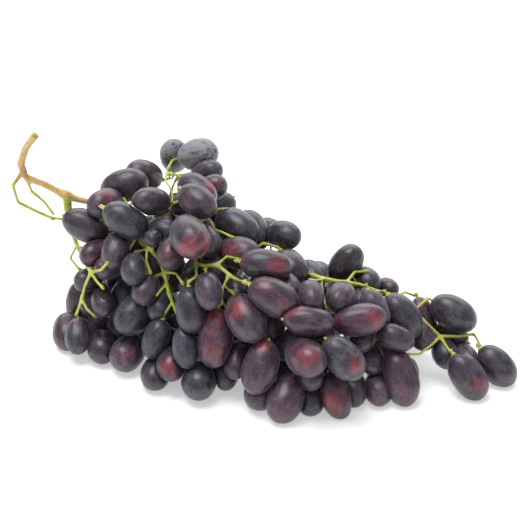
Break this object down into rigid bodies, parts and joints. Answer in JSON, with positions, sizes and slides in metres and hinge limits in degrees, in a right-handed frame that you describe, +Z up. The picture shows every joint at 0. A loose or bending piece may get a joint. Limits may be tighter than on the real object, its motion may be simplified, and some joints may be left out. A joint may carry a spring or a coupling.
{
  "type": "bunch of grapes",
  "caption": "Bunch of dark oval table grapes lying on its side, wide at the cut stem and tapering to a narrow tip, with its hooked stem and branches.",
  "frame": {"origin": "on the surface that the bunch lies on, under the middle of its bounding box", "axes": "+X from the cut stem to the tip of the bunch, +Y away from the side the picture shows, +Z up"},
  "size_m": [0.2664, 0.16, 0.1098],
  "materials": {
    "berries": "dark grape skin with a greyish bloom",
    "stem": "tan at the cut end, yellow-green along the branches"
  },
  "bodies": {
    "root": {"stem": "stem", "berries_shoulder": "berries", "berries_shoulder_2": "berries", "berries_crown": "berries", "berries_crown_2": "berries", "berries_middle": "berries", "berries_left": "berries", "berries_front_left": "berries", "berries_heart": "berries", "berries_heart_2": "berries", "berries_front_right": "berries", "berries_ridge": "berries", "berries_tip": "berries", "berries_back_1": "berries", "berries_back_2": "berries", "berries_back_2_2": "berries", "berries_back_2_3": "berries", "berries_back_3": "berries", "berries_back_3_2": "berries", "berries_back_4": "berries", "berries_back_5": "berries", "berries_back_5_2": "berries", "berries_back_5_3": "berries"}
  },
  "joints": []
}
